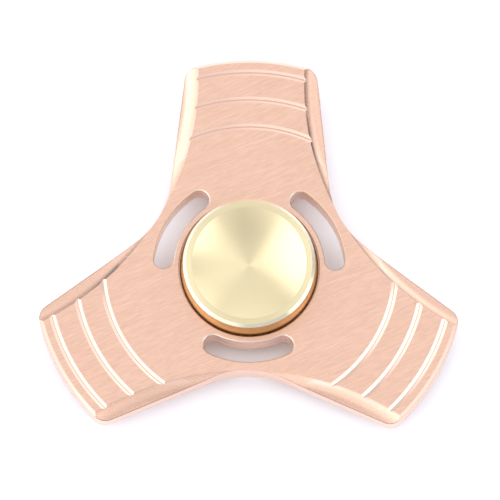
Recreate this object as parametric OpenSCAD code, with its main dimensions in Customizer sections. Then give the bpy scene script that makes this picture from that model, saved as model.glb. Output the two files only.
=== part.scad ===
// Three-arm fidget spinner: a copper rotor on a small ball bearing, held between two brass
// finger caps. Millimetres. The origin is the middle of the bearing, +Z is the spin axis and
// one arm points along +Y.

/* [Rotor body] */
// Diameter of the circle that passes through the three arm tips
spinner_d = 66.9; // [60:0.1:82]
// Thickness of the copper plate
body_t = 4.6; // [4.2:0.1:8]
// Angle by which each side of an arm leans in towards the tip, degrees
arm_taper = 6.4; // [2:0.1:9]
// Radius of the rounded waist between two arms
waist_fillet_r = 14; // [10:0.5:20]
// Metal left between a slot and the edge of the waist
waist_wall = 1.3; // [0.8:0.05:3]
// Radius of the corners at the arm tips
tip_corner_r = 2.3; // [1:0.1:3]
// Size of the chamfer on the end of each arm
tip_chamfer = 0.5; // [0.2:0.1:0.8]
// Chamfer around the bearing seat
bore_chamfer = 0.2; // [0.1:0.05:0.4]

/* [Scooped flanks] */
// Depth of the scoops, cut into both faces
scoop_depth = 1; // [0.8:0.05:1.9]
// Radius of the long arc that the inner edge of a scoop follows
scoop_sweep_r = 43.8; // [40:0.2:54]
// Radius of the hollow cross-section of a scoop
scoop_cove_r = 4; // [2.4:0.1:5]

/* [Grooves] */
// Number of V-grooves across each arm
groove_count = 3; // [1:1:3]
// Distance from the arm tip to the nearest groove
groove_setback = 2.05; // [1.6:0.05:3]
// Spacing between grooves
groove_pitch = 4.35; // [2.5:0.05:5]
// Width of a groove
groove_w = 1; // [0.6:0.05:1.2]
// Width of the flat bottom of a groove
groove_flat = 0.12; // [0.05:0.01:0.3]
// Depth of a groove
groove_depth = 0.25; // [0.1:0.05:0.5]

/* [Slots] */
// Width of the curved slots
slot_w = 3.1; // [1.5:0.1:4]
// Metal left between the hub recess and a slot
slot_wall = 0.85; // [0.8:0.05:2]
// Angle from the middle of a slot to the centre of its rounded end, degrees
slot_half_angle = 24; // [12:0.5:32]
// Chamfer around the slots
slot_chamfer = 0.15; // [0.1:0.05:0.3]

/* [Finger caps] */
// Diameter of a cap at its base
cap_base_d = 21.5; // [20:0.1:28]
// Height of a cap above the face of the body
cap_h = 3.6; // [3:0.1:6]
// Distance by which the wall of a cap spreads towards its base
cap_flare = 0.5; // [0.2:0.05:1]
// Size of the bevel around the top of a cap
cap_bevel = 0.47; // [0.2:0.01:0.8]
// Width of the flat rim around the dish
cap_rim_w = 0.9; // [0.5:0.05:2]
// Depth of the finger dish
dish_depth = 1.6; // [0.5:0.05:1.8]
// Depth of the recess that a cap sits in
recess_depth = 0.6; // [0.3:0.05:0.9]
// Radial gap between a cap and its recess
recess_gap = 0.2; // [0.15:0.01:0.5]
// Gap between the underside of a cap and the floor of its recess
cap_lift = 0.2; // [0.15:0.01:0.5]
// Gap between a cap and the face of the bearing
bearing_relief = 0.4; // [0.2:0.05:0.8]
// Gap between the spigot of a cap and the bore of the bearing
spigot_clearance = 0.01; // [0.005:0.005:0.03]

/* [Set screw] */
// Diameter of the set screw
screw_d = 3; // [2.5:0.1:3.6]
// Length of the set screw
screw_l = 6; // [5:0.1:7]
// Hexagon socket, across the flats
socket_af = 1.5; // [1.3:0.1:1.7]
// Depth of the hexagon socket
socket_depth = 1.6; // [1:0.1:2]

/* [Bearing] */
// Outside diameter of the bearing
bearing_od = 12.7; // [12.4:0.05:15.5]
// Bore of the bearing
bearing_bore = 6.35; // [5.2:0.05:6.6]
// Width of the bearing
bearing_w = 4.762; // [4.2:0.01:6]
// Number of balls
ball_count = 10; // [6:1:10]
// Diameter of a ball
ball_d = 1.984; // [1.6:0.01:2.05]
// Radial play between a ball and each raceway
race_play = 0.015; // [0.01:0.005:0.03]
// Height of the shoulders of a raceway
shoulder_h = 0.22; // [0.15:0.01:0.3]
// Chamfer on the outer edges of the rings
ring_chamfer = 0.15; // [0.1:0.05:0.25]
// Thickness of a shield
shield_t = 0.2; // [0.15:0.01:0.25]
// Gap between a shield and the inner ring
shield_gap = 0.15; // [0.1:0.01:0.25]
// Thickness of the wire of a snap ring
wire_t = 0.2; // [0.15:0.01:0.25]
// Opening of a snap ring, degrees
wire_gap_angle = 28; // [15:1:60]
// Gap between a ball and its pocket in the cage
pocket_gap = 0.05; // [0.03:0.01:0.08]
// Thickness of the cage behind a ball
cage_back_t = 0.35; // [0.25:0.05:0.45]
// Radial gap between the cage and the shoulders of the rings
cage_gap = 0.2; // [0.15:0.01:0.3]

/* [Hidden] */
$fn = 96;
eps = 0.001; // overlap that makes two rounded surfaces cross instead of just touching
reach = 1; // how far a cutter runs past the surface that it cuts

arm_count = 3;
arm_pitch = 360 / arm_count;
bay_angle = 90 - arm_pitch / 2;
tip_r = spinner_d / 2;
body_top = body_t / 2;
far = 2 * tip_r;

recess_r = cap_base_d / 2 + recess_gap;
recess_floor = body_top - recess_depth;
slot_r = recess_r + slot_wall + slot_w / 2;
waist_r = slot_r + slot_w / 2 + waist_wall;

// The waist arc's centre, and the line of an arm's side that is tangent to it
waist_centre = waist_r + waist_fillet_r;
side_angle = arm_pitch / 2 + arm_taper;
side_line = waist_centre * sin(side_angle) - waist_fillet_r;

// The scoops of two neighbouring arms are one arc, which starts where the waist is narrowest
scoop_lead = 0.05;
scoop_centre = waist_r + scoop_lead + scoop_sweep_r;
scoop_floor = body_top - scoop_depth;
scoop_run = sqrt(pow(scoop_cove_r, 2) - pow(scoop_cove_r - scoop_depth, 2)); // width of the hollow part

groove_r = [for (i = [0:groove_count - 1]) tip_r - groove_setback - i * groove_pitch];

cap_top = body_top + cap_h;
cap_wall_r = cap_base_d / 2 - cap_flare;
cap_edge_r = cap_wall_r - cap_bevel;
dish_r = cap_edge_r - cap_rim_w;
dish_sphere_r = (dish_r * dish_r + dish_depth * dish_depth) / (2 * dish_depth);
skirt_z = recess_floor + cap_lift;
flare_z = cap_top - cap_bevel;
flare_h = flare_z - body_top + recess_depth / 2;
flare_r = (cap_flare * cap_flare + flare_h * flare_h) / (2 * cap_flare);

bearing_top = bearing_w / 2;
pitch_r = (bearing_od + bearing_bore) / 4;
ball_r = ball_d / 2;
inner_race_r = pitch_r - ball_r - race_play;
outer_race_r = pitch_r + ball_r + race_play;
inner_shoulder_r = inner_race_r + shoulder_h;
outer_shoulder_r = outer_race_r - shoulder_h;
race_conformity = 1.04; // radius of a raceway against that of a ball
race_groove_r = race_conformity * ball_r;

boss_r = inner_shoulder_r - ring_chamfer;
cap_pocket_z = max(bearing_top, skirt_z) + bearing_relief;
cap_pocket_r = bearing_od / 2 + 2 * bearing_relief;
spigot_r = bearing_bore / 2 - spigot_clearance;
spigot_end = 0.15; // half of the gap between the ends of the two spigots
screw_edge = 0.3;

snap_top = bearing_top - ring_chamfer;
shield_top_z = snap_top - wire_t;
shield_seat_z = shield_top_z - shield_t;
shield_lip = 0.35; // how far a shield sits into the outer ring
shield_r = outer_shoulder_r + shield_lip;
shield_flange = 0.45;
shield_slope = 0.3;
shield_drop = 0.15;
wire_grip = 0.2; // how far a snap ring covers the edge of its shield
wire_seat = 0.12; // how deep a snap ring sits in its groove
snap_in_r = shield_r - wire_grip;
snap_out_r = shield_r + wire_seat;

pocket_r = ball_r + pocket_gap;
cage_in_r = inner_shoulder_r + cage_gap;
cage_out_r = outer_shoulder_r - cage_gap;
cage_low = -pocket_r - cage_back_t;
cage_rise = 0.55; // height of the cage above the middle of a ball, against its radius
cage_high = cage_rise * ball_r;

function ball_node(i) = str("ball_", i < 10 ? "0" : "", i);

// Repeats its children around the spin axis, once for each arm
module each_arm() {
    for (i = [0:arm_count - 1])
        rotate([0, 0, i * arm_pitch]) children();
}

// Repeats its children on the upper and the lower face
module both_faces() {
    children();
    mirror([0, 0, 1]) children();
}

// Solid of revolution through a list of [radius, height] points
module turned(points) {
    rotate_extrude() polygon(points);
}

// The bay between two arms, along +X: a rounded bottom and two straight sides
module bay() {
    side = [cos(side_angle), sin(side_angle)];
    foot = [waist_centre - waist_fillet_r * side[1], waist_fillet_r * side[0]];
    shift = [eps, 0];
    start = foot + shift;
    end = foot + shift + far * side;
    translate([waist_centre, 0, 0]) cylinder(r = waist_fillet_r, h = 2 * body_t, center = true);
    translate([0, 0, -body_t])
        linear_extrude(2 * body_t)
            polygon([start, end, [end[0], -end[1]], [start[0], -start[1]]]);
}

// What rounding takes off the corner of an arm along +Y, on its +X side
module tip_corner() {
    side_x = side_line - tip_corner_r + eps;
    centre_r = tip_r - tip_corner_r + eps;
    centre = [side_x, sqrt(centre_r * centre_r - side_x * side_x)];
    past_tip = centre * (tip_r + tip_corner_r) / centre_r;
    past_side = [side_line + tip_corner_r, centre[1]];
    rotate([0, 0, arm_taper])
        difference() {
            translate([0, 0, -body_t])
                linear_extrude(2 * body_t)
                    polygon([centre, past_side, [past_side[0], past_tip[1]], past_tip]);
            translate([centre[0], centre[1], 0])
                cylinder(r = tip_corner_r, h = 3 * body_t, center = true);
        }
}

// Ring-shaped cutter for the scoops on both sides of a bay, along +X
module scoop() {
    cove_x = scoop_sweep_r - scoop_run;
    cut_h = scoop_depth + reach;
    translate([scoop_centre, 0, scoop_floor]) {
        translate([0, 0, eps]) cylinder(r = cove_x, h = cut_h);
        rotate_extrude()
            translate([cove_x, scoop_cove_r]) circle(r = scoop_cove_r);
    }
}

// V-shaped ring cut across the arms
module groove(r) {
    low_w = groove_flat / 2;
    slope = (groove_w / 2 - low_w) / groove_depth;
    high_w = groove_w / 2 + reach * slope;
    turned([
        [r - low_w, body_top - groove_depth],
        [r + low_w, body_top - groove_depth],
        [r + high_w, body_top + reach],
        [r - high_w, body_top + reach]
    ]);
}

// Cuts the edge off the ends of the arms
module tip_edge() {
    turned([
        [tip_r - tip_chamfer - reach, body_top + reach],
        [tip_r + reach, body_top - tip_chamfer - reach],
        [tip_r + reach, body_top + reach]
    ]);
}

// Curved slot around +X, made from a swept band and two round ends
module slot() {
    translate([0, 0, -body_t])
        rotate([0, 0, -slot_half_angle])
            rotate_extrude(angle = 2 * slot_half_angle)
                translate([slot_r - slot_w / 2, 0]) square([slot_w, 2 * body_t]);
    for (side = [-1, 1])
        rotate([0, 0, side * slot_half_angle])
            translate([slot_r, 0, 0])
                cylinder(r = slot_w / 2 + eps, h = 2 * body_t, center = true);
}

// The chamfer around the upper edge of a slot
module slot_edge() {
    under = slot_w / 4;
    low_w = slot_w / 2 - under;
    high_w = slot_w / 2 + slot_chamfer + reach;
    low_z = body_top - slot_chamfer - under;
    high_z = body_top + reach;
    rotate([0, 0, -slot_half_angle])
        rotate_extrude(angle = 2 * slot_half_angle)
            polygon([
                [slot_r - low_w, low_z],
                [slot_r + low_w, low_z],
                [slot_r + high_w, high_z],
                [slot_r - high_w, high_z]
            ]);
    for (side = [-1, 1])
        rotate([0, 0, side * slot_half_angle])
            translate([slot_r, 0, low_z])
                cylinder(r1 = low_w + eps, r2 = high_w + eps, h = high_z - low_z);
}

// The hub: a recess for the cap and the chamfered mouth of the bearing seat
module hub_recess() {
    seat_r = bearing_od / 2;
    translate([0, 0, recess_floor]) cylinder(r = recess_r, h = recess_depth + reach);
    turned([
        [0, recess_floor - bore_chamfer - reach],
        [seat_r - reach, recess_floor - bore_chamfer - reach],
        [seat_r + bore_chamfer + reach, recess_floor + reach],
        [0, recess_floor + reach]
    ]);
}

module copper_body() {
    color("#f0c8b2")
        difference() {
            cylinder(r = tip_r, h = body_t, center = true);
            each_arm() {
                rotate([0, 0, bay_angle]) bay();
                tip_corner();
                mirror([1, 0, 0]) tip_corner();
                rotate([0, 0, bay_angle]) slot();
            }
            both_faces() {
                each_arm()
                    rotate([0, 0, bay_angle]) {
                        scoop();
                        slot_edge();
                    }
                for (r = groove_r) groove(r);
                tip_edge();
                hub_recess();
            }
            cylinder(d = bearing_od, h = 2 * body_t, center = true);
        }
}

// One finger cap, as it sits on the upper face
module finger_cap() {
    base_r = cap_base_d / 2;
    difference() {
        turned([
            [0, spigot_end],
            [spigot_r - ring_chamfer, spigot_end],
            [spigot_r, spigot_end + ring_chamfer],
            [spigot_r, bearing_top],
            [boss_r, bearing_top],
            [boss_r, cap_pocket_z],
            [cap_pocket_r, cap_pocket_z],
            [cap_pocket_r, skirt_z],
            [base_r, skirt_z],
            [base_r, flare_z],
            [cap_wall_r, flare_z],
            [cap_edge_r, cap_top],
            [0, cap_top]
        ]);
        // flared wall
        rotate_extrude()
            translate([cap_wall_r + flare_r, flare_z]) circle(r = flare_r);
        // finger dish
        translate([0, 0, cap_top - dish_depth + dish_sphere_r]) sphere(r = dish_sphere_r);
        // hole for the set screw
        cylinder(d = screw_d, h = screw_l, center = true);
    }
}

module top_cap() {
    color("#ead9a8") finger_cap();
}

module bottom_cap() {
    color("#ead9a8") mirror([0, 0, 1]) finger_cap();
}

module set_screw() {
    half_l = screw_l / 2;
    screw_r = screw_d / 2;
    color("#6d7076")
        difference() {
            turned([
                [0, -half_l],
                [screw_r - screw_edge, -half_l],
                [screw_r, -half_l + screw_edge],
                [screw_r, half_l - screw_edge],
                [screw_r - screw_edge, half_l],
                [0, half_l]
            ]);
            translate([0, 0, half_l - socket_depth])
                cylinder(d = socket_af / cos(30), h = socket_depth + reach, $fn = 6);
        }
}

module bearing_outer_ring() {
    outer_r = bearing_od / 2;
    color("#c4c8cc")
        difference() {
            turned([
                [outer_shoulder_r, -bearing_top],
                [outer_r - ring_chamfer, -bearing_top],
                [outer_r, -bearing_top + ring_chamfer],
                [outer_r, bearing_top - ring_chamfer],
                [outer_r - ring_chamfer, bearing_top],
                [outer_shoulder_r, bearing_top]
            ]);
            rotate_extrude()
                translate([outer_race_r - race_groove_r, 0]) circle(r = race_groove_r);
            both_faces() {
                // seat of the shield
                translate([0, 0, shield_seat_z]) cylinder(r = shield_r, h = bearing_w);
                // groove of the snap ring
                translate([0, 0, shield_top_z]) cylinder(r = snap_out_r, h = wire_t);
            }
        }
}

module bearing_inner_ring() {
    inner_r = bearing_bore / 2;
    color("#c4c8cc")
        difference() {
            turned([
                [inner_r + ring_chamfer, -bearing_top],
                [boss_r, -bearing_top],
                [inner_shoulder_r, -bearing_top + ring_chamfer],
                [inner_shoulder_r, bearing_top - ring_chamfer],
                [boss_r, bearing_top],
                [inner_r + ring_chamfer, bearing_top],
                [inner_r, bearing_top - ring_chamfer],
                [inner_r, -bearing_top + ring_chamfer]
            ]);
            rotate_extrude()
                translate([inner_race_r + race_groove_r, 0]) circle(r = race_groove_r);
        }
}

// Moves its children to the place of one ball
module at_ball(i) {
    rotate([0, 0, i * 360 / ball_count])
        translate([pitch_r, 0, 0]) children();
}

module ball_cage() {
    color("#d8c79a")
        difference() {
            turned([
                [cage_in_r, cage_low],
                [cage_out_r, cage_low],
                [cage_out_r, cage_high],
                [cage_in_r, cage_high]
            ]);
            for (i = [1:ball_count]) at_ball(i) sphere(r = pocket_r);
        }
}

module ball(i) {
    color("#e2e6ea") at_ball(i) sphere(r = ball_r);
}

// Shield of the bearing, pressed slightly inwards around the inner ring
module shield() {
    hole_r = inner_shoulder_r + shield_gap;
    bend_r = shield_r - shield_flange;
    bend_in_r = bend_r - shield_slope;
    turned([
        [hole_r, shield_seat_z - shield_drop],
        [bend_in_r, shield_seat_z - shield_drop],
        [bend_r, shield_seat_z],
        [shield_r, shield_seat_z],
        [shield_r, shield_top_z],
        [bend_r, shield_top_z],
        [bend_in_r, shield_top_z - shield_drop],
        [hole_r, shield_top_z - shield_drop]
    ]);
}

module shield_top() {
    color("#b9bcc0") shield();
}

module shield_bottom() {
    color("#b9bcc0") mirror([0, 0, 1]) shield();
}

// Open wire ring that snaps into the outer ring and holds the shield
module snap_ring() {
    translate([0, 0, shield_top_z])
        rotate([0, 0, wire_gap_angle / 2])
            rotate_extrude(angle = 360 - wire_gap_angle)
                translate([snap_in_r, 0]) square([snap_out_r - snap_in_r, wire_t]);
}

module snap_ring_top() {
    color("#9a9da2") snap_ring();
}

module snap_ring_bottom() {
    color("#9a9da2") mirror([0, 0, 1]) snap_ring();
}

copper_body();
top_cap();
bottom_cap();
set_screw();
bearing_outer_ring();
bearing_inner_ring();
ball_cage();
shield_top();
shield_bottom();
snap_ring_top();
snap_ring_bottom();
for (i = [1:ball_count])
    ball(i);
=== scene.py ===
"""Looks of a copper fidget spinner with brass finger caps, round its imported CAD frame."""
import math

import bpy
from mathutils import Matrix, Vector


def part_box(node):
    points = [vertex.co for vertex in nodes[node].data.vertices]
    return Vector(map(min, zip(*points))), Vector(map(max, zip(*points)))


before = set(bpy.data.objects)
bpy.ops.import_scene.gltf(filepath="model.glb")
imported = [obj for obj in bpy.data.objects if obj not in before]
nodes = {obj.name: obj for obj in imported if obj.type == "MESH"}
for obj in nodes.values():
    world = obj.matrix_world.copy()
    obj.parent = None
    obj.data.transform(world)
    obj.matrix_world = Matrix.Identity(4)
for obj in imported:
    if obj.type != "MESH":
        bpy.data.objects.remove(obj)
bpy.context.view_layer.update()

MM = 0.001
SENSOR_WIDTH = 36.0
floor_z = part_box("bottom_cap")[0].z


# ---------------------------------------------------------------- camera
CAMERA_ELEVATION = math.radians(76.0)
CAMERA_ROLL = math.radians(0.61)
CAMERA_DISTANCE = 1.5
VIEW_WIDTH = 77.53 * MM
AIM_RIGHT = 0.144 * MM
AIM_UP = 3.37 * MM


def make_camera():
    """A long lens that looks down on the spinner from the -Y side."""
    back = Vector((0, -math.cos(CAMERA_ELEVATION), math.sin(CAMERA_ELEVATION)))
    level = Vector((1, 0, 0))
    upright = back.cross(level)
    right = level * math.cos(CAMERA_ROLL) + upright * math.sin(CAMERA_ROLL)
    up = upright * math.cos(CAMERA_ROLL) - level * math.sin(CAMERA_ROLL)
    data = bpy.data.cameras.new("camera")
    data.sensor_width = SENSOR_WIDTH
    data.lens = SENSOR_WIDTH * CAMERA_DISTANCE / VIEW_WIDTH
    camera = bpy.data.objects.new("camera", data)
    place = right * AIM_RIGHT + up * AIM_UP + back * CAMERA_DISTANCE
    turn = Matrix((right, up, back)).transposed()
    camera.matrix_world = Matrix.Translation(place) @ turn.to_4x4()
    bpy.context.scene.collection.objects.link(camera)
    bpy.context.scene.camera = camera


make_camera()
bpy.context.scene.view_settings.view_transform = "Standard"


# ---------------------------------------------------------------- node helpers
NOISE_ROUGHNESS = 0.6
# how well the rounded normal matches the own one: on an edge, and off it
EDGE_MATCH = (0.96, 0.9985)


class Shader:
    """A material with one Principled shader, and short calls that add nodes to it."""

    def __init__(self, name, **sockets):
        self.material = bpy.data.materials.new(name)
        self.material.use_nodes = True
        self.tree = self.material.node_tree
        self.surface = self.tree.nodes["Principled BSDF"]
        for socket, value in sockets.items():
            self.surface.inputs[socket.replace("_", " ")].default_value = value
        self.coords = self.add("ShaderNodeTexCoord")

    def add(self, kind, inputs=None, **settings):
        """Adds a node. Inputs that are sockets are linked and the others are set."""
        made = self.tree.nodes.new(kind)
        for key, value in settings.items():
            setattr(made, key, value)
        for key, value in (inputs or {}).items():
            if isinstance(value, bpy.types.NodeSocket):
                self.tree.links.new(value, made.inputs[key])
            else:
                made.inputs[key].default_value = value
        return made

    def math(self, operation, a, b=0.0, c=0.0):
        made = self.add("ShaderNodeMath", {0: a, 1: b, 2: c}, operation=operation)
        return made.outputs[0]

    def grain(self, size, angle=0.0, vector=None, detail=3.0):
        """Noise, 0 to 1, whose features measure size (x, y, z) after a turn about Z."""
        place = self.add(
            "ShaderNodeMapping",
            {
                "Vector": vector or self.coords.outputs["Object"],
                "Rotation": (0, 0, angle),
                "Scale": size,
            },
            vector_type="TEXTURE",
        )
        noise = self.add(
            "ShaderNodeTexNoise",
            {
                "Vector": place.outputs[0],
                "Scale": 1.0,
                "Detail": detail,
                "Roughness": NOISE_ROUGHNESS,
            },
        )
        return noise.outputs["Factor" if "Factor" in noise.outputs else "Fac"]

    def remap(self, value, low, high, to_low, to_high):
        made = self.add(
            "ShaderNodeMapRange",
            {0: value, 1: low, 2: high, 3: to_low, 4: to_high},
            interpolation_type="SMOOTHSTEP",
        )
        return made.outputs[0]

    def blend(self, factor, a, b):
        """Mixes two numbers."""
        made = self.add("ShaderNodeMix", {0: factor, 2: a, 3: b}, data_type="FLOAT")
        return made.outputs[0]

    def tint(self, factor, a, b):
        """Mixes two colours."""
        made = self.add("ShaderNodeMix", {0: factor, 6: a, 7: b}, data_type="RGBA")
        return made.outputs[2]

    def root_of_squares(self, a, b):
        square = self.math("MULTIPLY", b, b)
        return self.math("SQRT", self.math("MULTIPLY_ADD", a, a, square))

    def bump(self, height, depth, normal=None):
        inputs = {"Height": height, "Distance": depth, "Strength": 1.0}
        if normal:
            inputs["Normal"] = normal
        made = self.add("ShaderNodeBump", inputs)
        self.tree.links.new(made.outputs[0], self.surface.inputs["Normal"])

    def edges(self, reach):
        """1 along the edges, fading to 0 within about reach."""
        rounded = self.add("ShaderNodeBevel", {"Radius": reach}, samples=8).outputs[0]
        own = self.add("ShaderNodeNewGeometry").outputs["Normal"]
        match = self.add(
            "ShaderNodeVectorMath", {0: rounded, 1: own}, operation="DOT_PRODUCT"
        )
        return self.remap(match.outputs["Value"], *EDGE_MATCH, 1.0, 0.0)

    def drive(self, socket, value):
        self.tree.links.new(value, self.surface.inputs[socket])

    def to_node(self, *names):
        for name in names:
            nodes[name].data.materials.clear()
            nodes[name].data.materials.append(self.material)


def rgb(red, green, blue):
    return (red, green, blue, 1.0)


# ---------------------------------------------------------------- copper body
BRUSH_ANGLE = math.radians(25)
SCRATCH_ANGLE = BRUSH_ANGLE - 0.07
ARM_START = (20 * MM, 20.4 * MM)
SLOT_REACH = (15.2 * MM, 15.504 * MM)
RECESS_REACH = (10.98 * MM, 11.02 * MM)
EDGE_ROUNDING = 0.08 * MM
# how far in from the low edges the painted shade reaches
EDGE_SHADE_REACH = 0.35 * MM
BRUSH_DEPTH = 0.003 * MM
plate_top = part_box("copper_body")[1].z

# depths below the plate's top, the deeper one first
FACE_DEPTHS = (0.06 * MM, 0.02 * MM)
GROOVE_FLOOR_DEPTHS = (0.27 * MM, 0.24 * MM)
LOW_EDGE_DEPTHS = (0.5 * MM, 0.3 * MM)

# upright part of the normal, where a wall ends, a slope starts and ends, and a level starts
WALL_ENDS = (0.2, 0.6)
SLOPE_STARTS = (0.3, 0.4)
SLOPE_ENDS = (0.93, 0.97)
LEVEL_STARTS = (0.96, 0.98)
# outward part of the normal: the scoops along the arms have less of it than grooves and tips
CUT_STARTS = (0.28, 0.38)

BRUSHED_DARK = rgb(0.79, 0.50, 0.38)
BRUSHED_LIGHT = rgb(0.965, 0.66, 0.52)
CUT_COPPER = rgb(0.90, 0.63, 0.52)
# painted highlight: near-white copper on the slot edges
SLOT_EDGE_HIGHLIGHT = rgb(0.99, 0.88, 0.79)
# painted shade: a dark brown laid on the cap recess, the groove floors and the low edges
PAINTED_SHADE_COPPER = rgb(0.50, 0.32, 0.24)
CUT_ROUGHNESS = 0.16
SLOT_EDGE_ROUGHNESS = 0.4
FACE_ROUGHNESS = (0.30, 0.40)
SIDE_ROUGHNESS = (0.22, 0.30)
# how much painted shade the recess, the groove floors and the low edges get
RECESS_SHADE = 0.3
GROOVE_SHADE = 0.5
LOW_EDGE_SHADE = 0.8


def copper():
    """Copper plate: brushed in one direction on its faces, milled on its walls, speckled in
    its hollows, and bright where a sharp tool cut the grooves and broke the edges. The slot
    edges get a painted highlight, and the cap recess, the groove floors and the low edges
    get painted brown shade."""
    s = Shader("brushed_copper", Metallic=1.0, Anisotropic=0.45)
    fine = s.grain((1.6 * MM, 0.09 * MM, 1.6 * MM), BRUSH_ANGLE)
    broad = s.grain((9 * MM, 0.35 * MM, 9 * MM), BRUSH_ANGLE)
    scratches = s.grain((14 * MM, 0.1 * MM, 14 * MM), SCRATCH_ANGLE, detail=1.0)
    milled = s.grain((9 * MM, 9 * MM, 0.12 * MM), detail=2.0)
    speckle = s.blend(0.35, 0.5, s.grain((0.3 * MM,) * 3, detail=4.0))

    normal = s.add("ShaderNodeSeparateXYZ", {0: s.coords.outputs["Normal"]}).outputs
    place = s.add("ShaderNodeSeparateXYZ", {0: s.coords.outputs["Object"]}).outputs
    radius = s.root_of_squares(place[0], place[1])
    outward = s.math("MULTIPLY", normal[1], place[1])
    outward = s.math("MULTIPLY_ADD", normal[0], place[0], outward)
    outward = s.math("ABSOLUTE", s.math("DIVIDE", outward, radius))
    upright = s.math("ABSOLUTE", normal[2])
    height = s.math("ABSOLUTE", place[2])

    def by_depth(depths, when_deeper, when_shallower):
        deeper, shallower = (plate_top - depth for depth in depths)
        return s.remap(height, deeper, shallower, when_deeper, when_shallower)

    # where the surface is
    on_arm = s.remap(radius, *ARM_START, 0.0, 1.0)
    by_slot = s.remap(radius, *SLOT_REACH, 1.0, 0.0)
    in_recess = s.remap(radius, *RECESS_REACH, 1.0, 0.0)
    on_face = by_depth(FACE_DEPTHS, 0.0, 1.0)
    on_wall = s.remap(upright, *WALL_ENDS, 1.0, 0.0)
    sloping = s.math(
        "MULTIPLY",
        s.remap(upright, *SLOPE_STARTS, 0.0, 1.0),
        s.remap(upright, *SLOPE_ENDS, 1.0, 0.0),
    )
    level = s.remap(upright, *LEVEL_STARTS, 0.0, 1.0)

    # where a tool cut it bright, and the slot edges, which get a painted highlight
    cut = s.math("MULTIPLY", on_arm, s.remap(outward, *CUT_STARTS, 0.0, 1.0))
    cut = s.math("MULTIPLY", sloping, s.math("MAXIMUM", cut, by_slot))

    # where shade is painted brown: in the recess round the cap, on the groove floors and
    # along the low edges
    groove_floor = s.math("SUBTRACT", 1.0, on_face)
    groove_floor = s.math("MULTIPLY", by_depth(GROOVE_FLOOR_DEPTHS, 0.0, 1.0), groove_floor)
    groove_floor = s.math("MULTIPLY", level, groove_floor)
    low_edge = by_depth(LOW_EDGE_DEPTHS, LOW_EDGE_SHADE, 0.0)
    low_edge = s.math("MULTIPLY", low_edge, s.edges(EDGE_SHADE_REACH))
    painted_shade = s.math("MAXIMUM", s.math("MULTIPLY", RECESS_SHADE, in_recess), low_edge)
    painted_shade = s.math("MAXIMUM", painted_shade, s.math("MULTIPLY", GROOVE_SHADE, groove_floor))

    brush = s.blend(0.2, fine, broad)
    brush = s.math("ADD", brush, s.remap(scratches, 0.64, 0.76, 0.0, 0.4))
    lines = s.blend(on_wall, s.blend(on_face, speckle, brush), milled)
    tone = s.remap(lines, 0.28, 0.78, 0.0, 1.0)
    brushed = s.tint(tone, BRUSHED_DARK, BRUSHED_LIGHT)
    # the slot edges get the painted highlight
    bright = s.tint(by_slot, CUT_COPPER, SLOT_EDGE_HIGHLIGHT)
    unshaded = s.tint(cut, brushed, bright)
    # lays the painted shade over the copper
    s.drive("Base Color", s.tint(painted_shade, unshaded, PAINTED_SHADE_COPPER))

    side_rough = s.remap(lines, 0.3, 0.7, *SIDE_ROUGHNESS)
    face_rough = s.remap(lines, 0.3, 0.7, *FACE_ROUGHNESS)
    rough = s.blend(on_face, side_rough, face_rough)
    cut_rough = s.blend(by_slot, CUT_ROUGHNESS, SLOT_EDGE_ROUGHNESS)
    s.drive("Roughness", s.blend(cut, rough, cut_rough))

    rounded = s.add("ShaderNodeBevel", {"Radius": EDGE_ROUNDING}, samples=4)
    s.bump(s.blend(cut, lines, 0.5), BRUSH_DEPTH, normal=rounded.outputs[0])
    across = (-math.sin(BRUSH_ANGLE), math.cos(BRUSH_ANGLE), 0)
    turn = s.add(
        "ShaderNodeVectorTransform",
        {0: across},
        vector_type="VECTOR",
        convert_from="OBJECT",
        convert_to="WORLD",
    )
    s.drive("Tangent", turn.outputs[0])
    s.to_node("copper_body")


# ---------------------------------------------------------------- turned parts
BRASS_DARK = rgb(0.83, 0.72, 0.455)
BRASS_LIGHT = rgb(0.87, 0.755, 0.485)
# painted highlight: a pale brass on the cap bevel
BRASS_BEVEL_HIGHLIGHT = rgb(0.95, 0.88, 0.68)
# painted reflection: the copper plate's orange-brown on the cap wall
BRASS_WALL_COPPER_REFLECTION = rgb(0.76, 0.51, 0.22)
BEVEL_ROUGHNESS = 0.2
# upright part of the normal, where the cap's wall and its bevel end
CAP_WALL_ENDS = (0.4, 0.5)
CAP_BEVEL_ENDS = (0.86, 0.92)

# name, dark and light colour, roughness, pitch and depth of the tool marks, anisotropy
TURNED_BRASS = (
    "turned_brass",
    BRASS_DARK,
    BRASS_LIGHT,
    (0.23, 0.27),
    0.06 * MM,
    0.0002 * MM,
    0.85,
)
GROUND_STEEL = (
    "ground_steel",
    rgb(0.50, 0.51, 0.53),
    rgb(0.66, 0.67, 0.69),
    (0.18, 0.30),
    0.08 * MM,
    0.001 * MM,
    0.6,
)
PRESSED_STEEL = (
    "pressed_steel",
    rgb(0.58, 0.59, 0.61),
    rgb(0.74, 0.75, 0.77),
    (0.30, 0.42),
    0.25 * MM,
    0.002 * MM,
    0.3,
)
SPRING_WIRE = (
    "spring_wire",
    rgb(0.34, 0.35, 0.37),
    rgb(0.50, 0.51, 0.53),
    (0.30, 0.40),
    0.05 * MM,
    0.002 * MM,
    0.4,
)


def ring_lines(s, pitch):
    """Fine concentric tool marks: noise along the radius and the height only."""
    x, y, z = s.add("ShaderNodeSeparateXYZ", {0: s.coords.outputs["Object"]}).outputs
    polar = s.add("ShaderNodeCombineXYZ", {0: s.root_of_squares(x, y), 1: z})
    return s.grain((pitch, pitch, pitch), vector=polar.outputs[0], detail=2.0)


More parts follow.
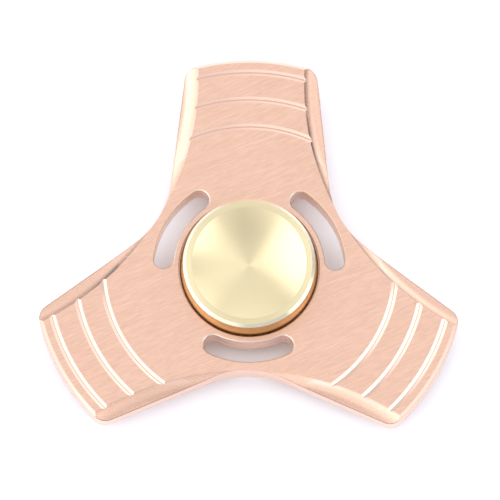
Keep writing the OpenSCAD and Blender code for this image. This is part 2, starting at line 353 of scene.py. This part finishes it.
def turned_shader(name, dark, light, rough, pitch, depth, anisotropy):
    """Metal turned on a lathe, so that its gloss runs out along the radius."""
    s = Shader(
        name,
        Metallic=1.0,
        Anisotropic=anisotropy,
        Anisotropic_Rotation=0.25,
    )
    rings = ring_lines(s, pitch)
    s.drive("Base Color", s.tint(s.remap(rings, 0.25, 0.75, 0.0, 1.0), dark, light))
    s.drive("Roughness", s.remap(rings, 0.2, 0.8, *rough))
    s.bump(rings, depth)
    around = s.add("ShaderNodeTangent", direction_type="RADIAL", axis="Z")
    s.drive("Tangent", around.outputs[0])
    return s


def brass():
    """Brass caps: turned faces, a smoother bevel with a painted highlight, and a wall
    painted orange-brown as a painted reflection of the copper plate.
    """
    s = turned_shader(*TURNED_BRASS)
    normal = s.add("ShaderNodeSeparateXYZ", {0: s.coords.outputs["Normal"]}).outputs
    upright = s.math("ABSOLUTE", normal[2])
    on_wall = s.remap(upright, *CAP_WALL_ENDS, 1.0, 0.0)
    off_bevel = s.remap(upright, *CAP_BEVEL_ENDS, 0.0, 1.0)
    turned = s.surface.inputs["Base Color"].links[0].from_socket
    rough = s.surface.inputs["Roughness"].links[0].from_socket
    # the bevel gets the painted highlight
    polished = s.tint(off_bevel, BRASS_BEVEL_HIGHLIGHT, turned)
    # the wall gets the painted reflection of the copper plate
    s.drive("Base Color", s.tint(on_wall, polished, BRASS_WALL_COPPER_REFLECTION))
    s.drive("Roughness", s.blend(off_bevel, BEVEL_ROUGHNESS, rough))
    s.to_node("top_cap", "bottom_cap")


def steels():
    """The bearing's rings, shields, snap rings and balls."""
    turned_shader(*GROUND_STEEL).to_node("bearing_outer_ring", "bearing_inner_ring")
    turned_shader(*PRESSED_STEEL).to_node("shield_top", "shield_bottom")
    turned_shader(*SPRING_WIRE).to_node("snap_ring_top", "snap_ring_bottom")
    s = Shader("polished_steel", Metallic=1.0)
    haze = s.grain((0.5 * MM,) * 3, detail=5.0)
    s.drive("Base Color", s.tint(haze, rgb(0.80, 0.81, 0.83), rgb(0.90, 0.90, 0.92)))
    s.drive("Roughness", s.remap(haze, 0.3, 0.8, 0.04, 0.14))
    s.to_node(*(f"ball_{number:02d}" for number in range(1, 11)))


def black_oxide():
    """The set screw."""
    s = Shader("black_oxide", Metallic=1.0)
    mottle = s.grain((0.4 * MM,) * 3, detail=5.0)
    s.drive("Base Color", s.tint(mottle, rgb(0.035, 0.035, 0.04), rgb(0.10, 0.10, 0.11)))
    s.drive("Roughness", s.remap(mottle, 0.3, 0.7, 0.35, 0.55))
    s.bump(mottle, 0.004 * MM)
    s.to_node("set_screw")


def nylon():
    """The ball cage."""
    s = Shader("moulded_nylon", IOR=1.53)
    s.surface.inputs["Subsurface Weight"].default_value = 0.2
    s.surface.inputs["Subsurface Radius"].default_value = (0.6 * MM, 0.4 * MM, 0.25 * MM)
    fibre = s.grain((0.3 * MM, 0.3 * MM, 0.12 * MM), detail=4.0)
    s.drive("Base Color", s.tint(fibre, rgb(0.66, 0.57, 0.38), rgb(0.80, 0.73, 0.56)))
    s.drive("Roughness", s.remap(fibre, 0.3, 0.7, 0.45, 0.62))
    s.bump(fibre, 0.005 * MM)
    s.to_node("ball_cage")


copper()
brass()
steels()
black_oxide()
nylon()


# ---------------------------------------------------------------- studio
FLOOR_HALF = 3.0
PAPER_NEAR = rgb(0.90, 0.925, 0.985)
# painted shade: the paper darkens to this colour away from the spinner
PAPER_PAINTED_SHADE = rgb(0.64, 0.65, 0.68)
PAPER_FADE = (62 * MM, 110 * MM)


def make_floor():
    """Pale paper with painted shade that makes it a little darker away from the spinner."""
    mesh = bpy.data.meshes.new("floor")
    half = FLOOR_HALF
    corners = [(-half, -half, 0), (half, -half, 0), (half, half, 0), (-half, half, 0)]
    mesh.from_pydata(corners, [], [(0, 1, 2, 3)])
    floor = bpy.data.objects.new("floor", mesh)
    floor.location.z = floor_z
    bpy.context.scene.collection.objects.link(floor)
    s = Shader("paper", Roughness=0.85)
    place = s.add("ShaderNodeSeparateXYZ", {0: s.coords.outputs["Object"]}).outputs
    # painted shade that darkens the paper away from the spinner
    away = s.remap(s.root_of_squares(place[0], place[1]), *PAPER_FADE, 0.0, 1.0)
    s.drive("Base Color", s.tint(away, PAPER_NEAR, PAPER_PAINTED_SHADE))
    s.surface.inputs["Specular IOR Level"].default_value = 0.2
    mesh.materials.append(s.material)


def compass(azimuth, elevation):
    """A direction. Azimuth is counted from +X towards +Y, both in degrees."""
    az, el = math.radians(azimuth), math.radians(elevation)
    level = math.cos(el)
    return Vector((math.cos(az) * level, math.sin(az) * level, math.sin(el)))


# sine of the elevation between which the tent goes from its horizon to its ceiling
TENT_RISE = (0.05, 0.6)
TENT_WHITE = rgb(0.985, 0.985, 1.0)
# name, azimuth, elevation, where it is full, where it ends (all in degrees), radiance added
TENT_PATCHES = (
    ("wall_left", 180, 25, 36, 50, 0.85),
    ("wall_left_low", 192, 0, 28, 46, 0.1),
    ("wall_left_top", 168, 60, 10, 24, 0.5),
    ("wall_left_front", 235, 15, 14, 34, 0.5),
    ("panel_right", -17, 38, 15, 25, 1.4),
    ("panel_right_low", -22, 4, 18, 26, 0.8),
    ("gloom_right", 32, 10, 14, 28, -0.4),
    ("glow_right_top", 34, 66, 6, 18, 0.2),
    ("glow_back_right", 46, 24, 12, 22, 0.85),
    ("glow_back", 92, 16, 18, 32, 0.3),
    ("glow_back_low", 72, 2, 12, 30, 0.3),
    ("gloom_back_left", 120, -2, 10, 22, -0.25),
    ("glow_front", 246, 45, 8, 28, 0.25),
    ("lens_opening", 270, 76, 4, 18, -0.35),
)


def make_tent(ceiling, horizon):
    """A white tent round the spinner, with a darker horizon and brighter and darker
    patches that are tuned for the photograph's view."""
    world = bpy.data.worlds.new("tent")
    bpy.context.scene.world = world
    world.use_nodes = True
    tree = world.node_tree
    coords = tree.nodes.new("ShaderNodeTexCoord")

    def ramp(source, start, stop, first, last):
        made = tree.nodes.new("ShaderNodeMapRange")
        made.interpolation_type = "SMOOTHSTEP"
        tree.links.new(source, made.inputs[0])
        for index, value in enumerate((start, stop, first, last), 1):
            made.inputs[index].default_value = value
        return made.outputs[0]

    split = tree.nodes.new("ShaderNodeSeparateXYZ")
    tree.links.new(coords.outputs["Generated"], split.inputs[0])
    total = ramp(split.outputs["Z"], *TENT_RISE, horizon, ceiling)
    for name, azimuth, elevation, full, ends, radiance in TENT_PATCHES:
        facing = tree.nodes.new("ShaderNodeVectorMath")
        facing.operation = "DOT_PRODUCT"
        facing.inputs[1].default_value = compass(azimuth, elevation)
        tree.links.new(coords.outputs["Generated"], facing.inputs[0])
        ends_at, full_at = math.cos(math.radians(ends)), math.cos(math.radians(full))
        patch = ramp(facing.outputs["Value"], ends_at, full_at, 0.0, radiance)
        join = tree.nodes.new("ShaderNodeMath")
        join.label = name
        tree.links.new(total, join.inputs[0])
        tree.links.new(patch, join.inputs[1])
        total = join.outputs[0]
    background = tree.nodes["Background"]
    background.inputs["Color"].default_value = TENT_WHITE
    tree.links.new(total, background.inputs["Strength"])


def make_fill(width, height, radiance):
    """A wide panel overhead that lights the floor and does not show in the metal."""
    data = bpy.data.lights.new("fill", "AREA")
    data.size = width
    data.energy = radiance * math.pi * width * width
    light = bpy.data.objects.new("fill", data)
    light.location.z = height
    light.visible_glossy = False
    bpy.context.scene.collection.objects.link(light)


make_floor()
make_tent(ceiling=1.0, horizon=0.5)
make_fill(width=0.7, height=1.0, radiance=1.7)
